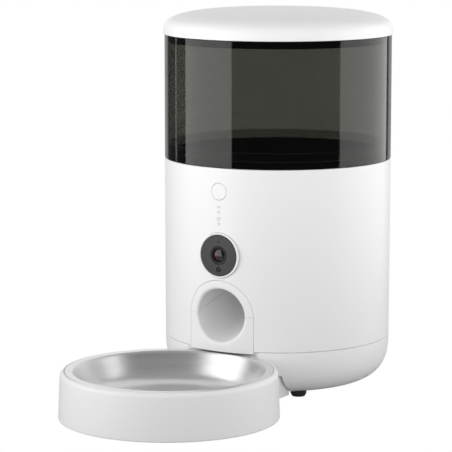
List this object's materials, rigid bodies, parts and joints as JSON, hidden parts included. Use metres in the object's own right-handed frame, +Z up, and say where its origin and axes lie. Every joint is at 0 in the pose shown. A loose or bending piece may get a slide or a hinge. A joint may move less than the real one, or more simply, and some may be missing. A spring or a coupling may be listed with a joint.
{
  "type": "pet feeder with camera",
  "caption": "Round automatic pet feeder with a smoked food hopper, a camera over an arched chute and a steel bowl in a plug-in tray.",
  "frame": {"origin": "centre of the footprint, on the floor", "axes": "+Z up; the chute and the bowl face -Y; +X is to the right seen from the front"},
  "size_m": [0.1956, 0.361, 0.3212],
  "materials": {
    "white_plastic": "fine satin white",
    "smoked_plastic": "clear smoked gloss",
    "black_plastic": "satin black",
    "lens_glass": "coated lens",
    "dark_window": "dark gloss",
    "grey_silicone": "soft grey",
    "inner_plastic": "plain moulded grey",
    "gear_plastic": "natural acetal",
    "brushed_steel": "brushed",
    "plain_steel": "bright plated",
    "bearing_metal": "turned",
    "circuit_board": "green board",
    "light_pipe": "frosted clear",
    "dark_rubber": "moulded rubber",
    "cell_wrap": "plain shrink wrap"
  },
  "bodies": {
    "feeder": {"main_housing": "white_plastic", "base_shell": "white_plastic", "chute_upper": "white_plastic", "chute_lower": "white_plastic", "camera_bezel": "white_plastic", "camera_window": "dark_window", "lens_ring": "black_plastic", "camera_lens": "lens_glass", "camera_barrel": "black_plastic", "camera_board": "circuit_board", "light_sensor": "black_plastic", "microphone": "black_plastic", "night_light_left": "black_plastic", "night_light_right": "black_plastic", "button_board": "circuit_board", "button_switch": "black_plastic", "light_pipe_upper": "light_pipe", "light_pipe_lower": "light_pipe", "hopper_seat": "inner_plastic", "gear_case": "inner_plastic", "gear_motor": "plain_steel", "shaft_bush": "bearing_metal", "main_board": "circuit_board", "power_inlet": "black_plastic", "speaker": "black_plastic", "food_sensor_left": "black_plastic", "food_sensor_right": "black_plastic", "battery_box": "inner_plastic", "battery_contact_left": "plain_steel", "battery_contact_right": "plain_steel", "battery_cell_1": "cell_wrap", "battery_cell_2": "cell_wrap", "battery_cell_3": "cell_wrap", "foot_1": "dark_rubber", "foot_2": "dark_rubber", "foot_3": "dark_rubber", "foot_4": "dark_rubber", "base_screw_1": "plain_steel", "base_screw_2": "plain_steel", "base_screw_3": "plain_steel", "base_screw_4": "plain_steel"},
    "hopper": {"hopper_tank": "smoked_plastic", "hopper_funnel": "black_plastic", "portion_baffle": "grey_silicone"},
    "rotor": {"dosing_rotor": "gear_plastic", "agitator": "grey_silicone"},
    "lid": {"lid": "white_plastic", "lid_seal": "black_plastic", "moisture_box": "white_plastic"},
    "cover": {"moisture_cover": "grey_silicone"},
    "drive": {"drive_gear": "gear_plastic"},
    "idler": {"idler_gear": "gear_plastic"},
    "pinion": {"motor_pinion": "gear_plastic"},
    "button": {"feed_button": "white_plastic"},
    "reset": {"reset_button": "black_plastic"},
    "holder": {"bowl_holder": "white_plastic", "holder_dish": "white_plastic", "holder_grip_ring": "dark_rubber"},
    "bowl": {"steel_bowl": "brushed_steel"},
    "door": {"battery_door": "white_plastic"}
  },
  "joints": [
    {"name": "hopper_lift", "type": "slide", "parent": "feeder", "child": "hopper", "axis": [0, 0, 1], "range_m": [0, 0.1]},
    {"name": "rotor_turn", "type": "hinge", "parent": "hopper", "child": "rotor", "pos_m": [0, 0.08265, 0.134], "axis": [0, 0, 1], "continuous": true},
    {"name": "lid_lift", "type": "slide", "parent": "hopper", "child": "lid", "axis": [0, 0, 1], "range_m": [0, 0.05]},
    {"name": "cover_twist", "type": "hinge", "parent": "lid", "child": "cover", "pos_m": [0, 0.08265, 0.303], "axis": [0, 0, 1], "range_deg": [0, 40]},
    {"name": "drive_turn", "type": "hinge", "parent": "feeder", "child": "drive", "pos_m": [0, 0.08265, 0.107], "axis": [0, 0, 1], "continuous": true},
    {"name": "idler_turn", "type": "hinge", "parent": "feeder", "child": "idler", "pos_m": [0, 0.10765, 0.107], "axis": [0, 0, 1], "continuous": true},
    {"name": "motor_turn", "type": "hinge", "parent": "feeder", "child": "pinion", "pos_m": [0, 0.12865, 0.107], "axis": [0, 0, 1], "continuous": true},
    {"name": "feed_press", "type": "slide", "parent": "feeder", "child": "button", "axis": [0, 1, 0], "range_m": [0, 0.0008], "stiffness_N_per_m": 400, "springref_m": -0.0006},
    {"name": "reset_press", "type": "slide", "parent": "feeder", "child": "reset", "axis": [0, -1, 0], "range_m": [0, 0.0006], "stiffness_N_per_m": 300, "springref_m": -0.0006},
    {"name": "holder_slide", "type": "slide", "parent": "feeder", "child": "holder", "axis": [0, -1, 0], "range_m": [0, 0.06]},
    {"name": "bowl_tilt", "type": "hinge", "parent": "holder", "child": "bowl", "pos_m": [0, -0.00645, 0.0382], "axis": [-1, 0, 0], "range_deg": [0, 8]},
    {"name": "door_drop", "type": "slide", "parent": "feeder", "child": "door", "axis": [0, 0, -1], "range_m": [0, 0.03]}
  ],
  "couplings": [
    {"joint": "drive_turn", "follows": "rotor_turn", "ratio": 1},
    {"joint": "idler_turn", "follows": "rotor_turn", "ratio": -0.66667},
    {"joint": "motor_turn", "follows": "rotor_turn", "ratio": 1.6667}
  ]
}
